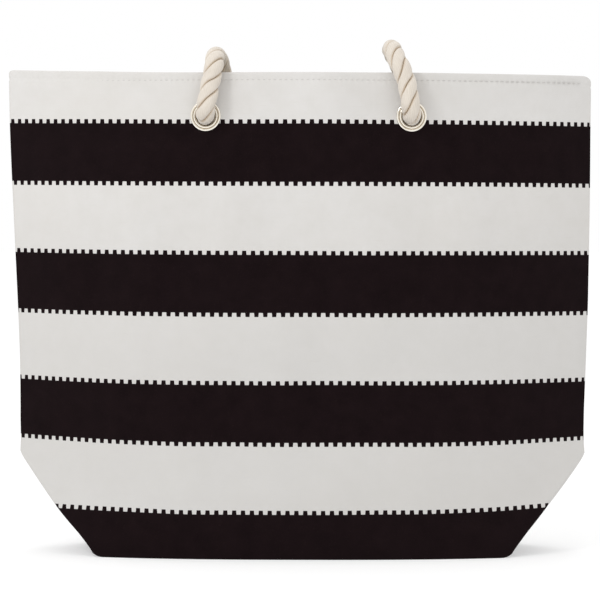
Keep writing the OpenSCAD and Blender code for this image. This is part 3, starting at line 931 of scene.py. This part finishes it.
def seam_binding(name, right):
    """A tape folded round the seam allowance: a narrow U that opens towards the seam, carried up the side."""
    z = np.concatenate([np.linspace(0.0055, FOLD_Z, 14)[:-1], np.linspace(FOLD_Z, 0.366, 60)])[:, None]
    half, inside = 0.0019, 0.0090
    turn = np.linspace(-math.pi / 2, math.pi / 2, 9)
    leg = np.linspace(0.0, 0.0042, 5)[1:]
    back = np.concatenate([leg[::-1], -half * np.cos(turn), leg]) - inside
    across = np.concatenate([np.full(len(leg), -half), half * np.sin(turn), np.full(len(leg), half)])
    x = right * (half_width(z) + back) + eased(z, LEAN_RIGHT if right > 0 else LEAN_LEFT)
    y = across * (1.0 + 0.10 * np.sin(z * 210.0)) + 0 * x
    points = np.stack([x, y, z + 0 * x], -1)
    place = np.arange(len(back)) * 0.001
    uv = np.stack([(place[::-1] if right > 0 else place) + 0 * x, z + 0 * x], -1)
    piece = cloth_piece(name, points, 0.0005, uv, TAPE)
    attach(piece, "bag")
    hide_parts("side_seam_binding_right" if right > 0 else "side_seam_binding_left")


def hem_stitches(side):
    """A row of short lock stitches along the groove, outside and inside. Each is a thin spindle, tipped a
    little, whose ends go down into the cloth."""
    word, eyelets, seed, flip = side
    reach = int((MOUTH_HALF_W - 0.010) / STITCH_PITCH)
    x = np.arange(-reach, reach + 1) * STITCH_PITCH * 0.985
    level = np.full_like(x, STITCH_Z)
    t = np.linspace(-1.0, 1.0, 5)
    sides = 6
    angle = np.arange(sides) * math.pi / 3
    thick = 0.00034 * np.sqrt(np.clip(1 - (0.94 * t) ** 2, 0, 1))
    half_length, proud, dive = 0.00155, 0.00004, 0.00022
    width = half_width(STITCH_Z)
    out = drape(x, level, seed)
    rows = []
    for depth, way in ((0.0004, 1.0), (LINING_DEPTH + LINING_T, -1.0)):
        y = face_depth(STITCH_Z, depth, x / width) + out * smooth_step((width - np.abs(x)) / EASE)
        for place in eyelets:
            y = y - out * (1 - clear_of_eyelet(x, STITCH_Z, place))
        along = unit(np.stack([np.ones_like(x), -np.gradient(y, x), np.full_like(x, 0.05)], 1))
        normal = np.array([0.0, -way, 0.0])
        upward = np.cross(normal, along)
        middle = np.stack([x, -y, level], 1) + proud * normal
        core = middle[:, None] + half_length * t[None, :, None] * along[:, None]
        core = core - dive * (t ** 4)[None, :, None] * normal
        around = (
            np.cos(angle)[None, None, :, None] * upward[:, None, None]
            + 0.8 * np.sin(angle)[None, None, :, None] * normal
        )
        rows.append(core[:, :, None] + thick[None, :, None, None] * around)
    spindles = np.concatenate(rows)
    if flip:
        spindles = turned(spindles)
    count = len(spindles)
    one, flat = grid_faces(len(t), sides, False, True)
    ends = spindles[:, [0, -1]].mean(2)
    points = np.concatenate([spindles.reshape(count, -1, 3), ends], 1)
    shift = (np.arange(count) * points.shape[1])[:, None, None]
    faces = [(f[None] + shift).reshape(-1, f.shape[1]) for f in (one, *end_fans(len(t), sides))]
    places = grid_uv(np.arange(sides + 1) / sides, t * half_length)
    cap_uv = np.zeros((2 * sides * count * 3, 2))
    uv = np.concatenate([np.tile(places[flat].reshape(-1, 2), (count, 1)), cap_uv])
    piece = add_piece(f"{word}_hem_stitches", points.reshape(-1, 3), faces, THREAD, uv)
    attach(piece, "bag")
    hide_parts(f"hem_stitching_{word}")


shell_pieces()
base = base_sheet(
    "base_canvas", CANVAS, CANVAS_T, level=0.0002, height=0.0, depth=0.0116, end=0.0, curl=0.0006,
    bulge=0.0004,
)
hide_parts("base_panel")
floor_lining = base_sheet(
    "base_lining", LINING, LINING_T, level=0.0039, height=0.005, depth=0.0039, end=0.0070, curl=0.0004,
    bulge=0.0012,
)
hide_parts("lining_base")
seam_binding("left_seam_binding", -1.0)
seam_binding("right_seam_binding", 1.0)
for each_side in SIDES:
    hem_stitches(each_side)


# --- Eyelets ---
EYELET_SIDES = 96
# Radius and height above the canvas in millimetres, once round: up the outer roll, over it, down into the
# groove, over the inner roll, down inside the barrel, round its flared end, up its outside, and out again
EYELET_SECTION = (
    (11.7, 0.12), (11.92, 0.4), (11.98, 0.75), (11.88, 1.12), (11.6, 1.43), (11.22, 1.6), (10.8, 1.62),
    (10.42, 1.5), (10.12, 1.24), (9.97, 0.92), (9.9, 0.7), (9.8, 0.7), (9.72, 0.94), (9.56, 1.28),
    (9.3, 1.56), (8.96, 1.7), (8.6, 1.68), (8.26, 1.5), (7.98, 1.18), (7.8, 0.72), (7.72, 0.1),
    (7.78, -1.5), (7.96, -3.5), (8.15, -4.8), (8.4, -5.6), (8.72, -6), (9.05, -6.02), (9.28, -5.8),
    (9.3, -5.45), (9.12, -5.2), (9, -4.9), (8.98, -3.5), (8.98, -1.5), (8.99, -0.4), (9.05, -0.02),
    (9.6, 0.08), (10.6, 0.1),
)


def eyelet_rings(name, x, node, flip):
    """The section turned once about the eyelet's axis, which stands square to the canvas there."""
    width = float(half_width(EYELET_Z))
    s = abs(x) / width
    face = BASE_HALF_D + (MOUTH_HALF_D - BASE_HALF_D) * EYELET_Z / BODY_H
    turn = math.copysign(math.atan(face * FLATNESS * s ** (FLATNESS - 1) / width), x)
    out = np.array([math.sin(turn), -math.cos(turn), 0.0])
    level = np.array([math.cos(turn), math.sin(turn), 0.0])
    middle = np.array([x, -float(face_depth(EYELET_Z, 0.0, s)), EYELET_Z])
    section = np.array(EYELET_SECTION) / 1000
    angle = np.arange(EYELET_SIDES) * 2 * math.pi / EYELET_SIDES
    around = np.cos(angle)[:, None] * level + np.sin(angle)[:, None] * np.array([0.0, 0.0, 1.0])
    rings = middle + section[:, None, :1] * around[None] + section[:, None, 1:] * out
    if flip:
        rings = turned(rings)
    faces, flat = grid_faces(len(section), EYELET_SIDES, True, True)
    run = np.concatenate([[0.0], np.cumsum(np.linalg.norm(np.diff(section, axis=0), axis=1))])
    places = grid_uv(np.arange(EYELET_SIDES + 1) / EYELET_SIDES, np.append(run, run[-1] + 0.001))
    piece = add_piece(name, rings.reshape(-1, 3), [faces], METAL, places[flat].reshape(-1, 2), sharp=80.0)
    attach(piece, "bag")
    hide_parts(node)


for word, places, flip in (("front", FRONT_EYELETS, False), ("back", BACK_EYELETS, True)):
    for local_x in places:
        seen_x = -local_x if flip else local_x
        hand = "left" if seen_x < 0 else "right"
        eyelet_rings(f"{word}_{hand}_eyelet", local_x, f"eyelet_{word}_{hand}", flip)


def dress_node(node, finish):
    """Gives a CAD part that stays in view its finish."""
    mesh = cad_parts[node].data
    mesh.materials.clear()
    mesh.materials.append(finish)


dress_node("base_board", BOARD)
for word in ("front_left", "front_right", "back_left", "back_right"):
    dress_node(f"washer_{word}", METAL)


# --- Floor and light ---
def make_floor():
    """A wide pale plane with a little light of its own."""
    f = Finish("studio_floor", 0.95, gloss=0.05)
    f.colour(f.mix(f.noise(3.0, 2.0), rgb(203, 203, 203), rgb(206, 206, 206)))
    f.shader.inputs["Emission Color"].default_value = (1.0, 1.0, 1.0, 1.0)
    f.shader.inputs["Emission Strength"].default_value = 0.42
    size, level = 14.0, 0.0003
    corners = ((-1, -1), (1, -1), (1, 1), (-1, 1))
    points = np.array([(size * across, size * along, level) for across, along in corners])
    floor = add_piece("floor", points, [np.array([[0, 1, 2, 3]])], f.material)


def soft_light(name, place, aim, size, power):
    """A disc lamp that faces its aim."""
    data = bpy.data.lights.new(name, "AREA")
    data.shape = "DISK"
    data.size = size
    data.energy = power
    lamp = bpy.data.objects.new(name, data)
    link(lamp)
    lamp.location = place
    lamp.rotation_mode = "QUATERNION"
    back = unit(np.array(place) - np.array(aim))
    side = unit(np.cross([0.0, 0.0, 1.0], back))
    up = np.cross(back, side)
    lamp.rotation_quaternion = Matrix(np.stack([side, up, back], 1).tolist()).to_quaternion()


def make_light():
    world = bpy.data.worlds.new("studio")
    world.use_nodes = True
    back = world.node_tree.nodes["Background"]
    back.inputs["Color"].default_value = (1.0, 1.0, 1.0, 1.0)
    back.inputs["Strength"].default_value = 1.0
    bpy.context.scene.world = world
    soft_light("key", place=(-0.70, -0.95, 1.10), aim=(-0.02, 0.0, 0.34), size=0.35, power=4.2)
    soft_light("top", place=(0.1, 0.3, 1.6), aim=(0.0, 0.0, 0.2), size=0.9, power=2.0)


make_floor()
make_light()
bpy.context.scene.view_settings.view_transform = "Standard"
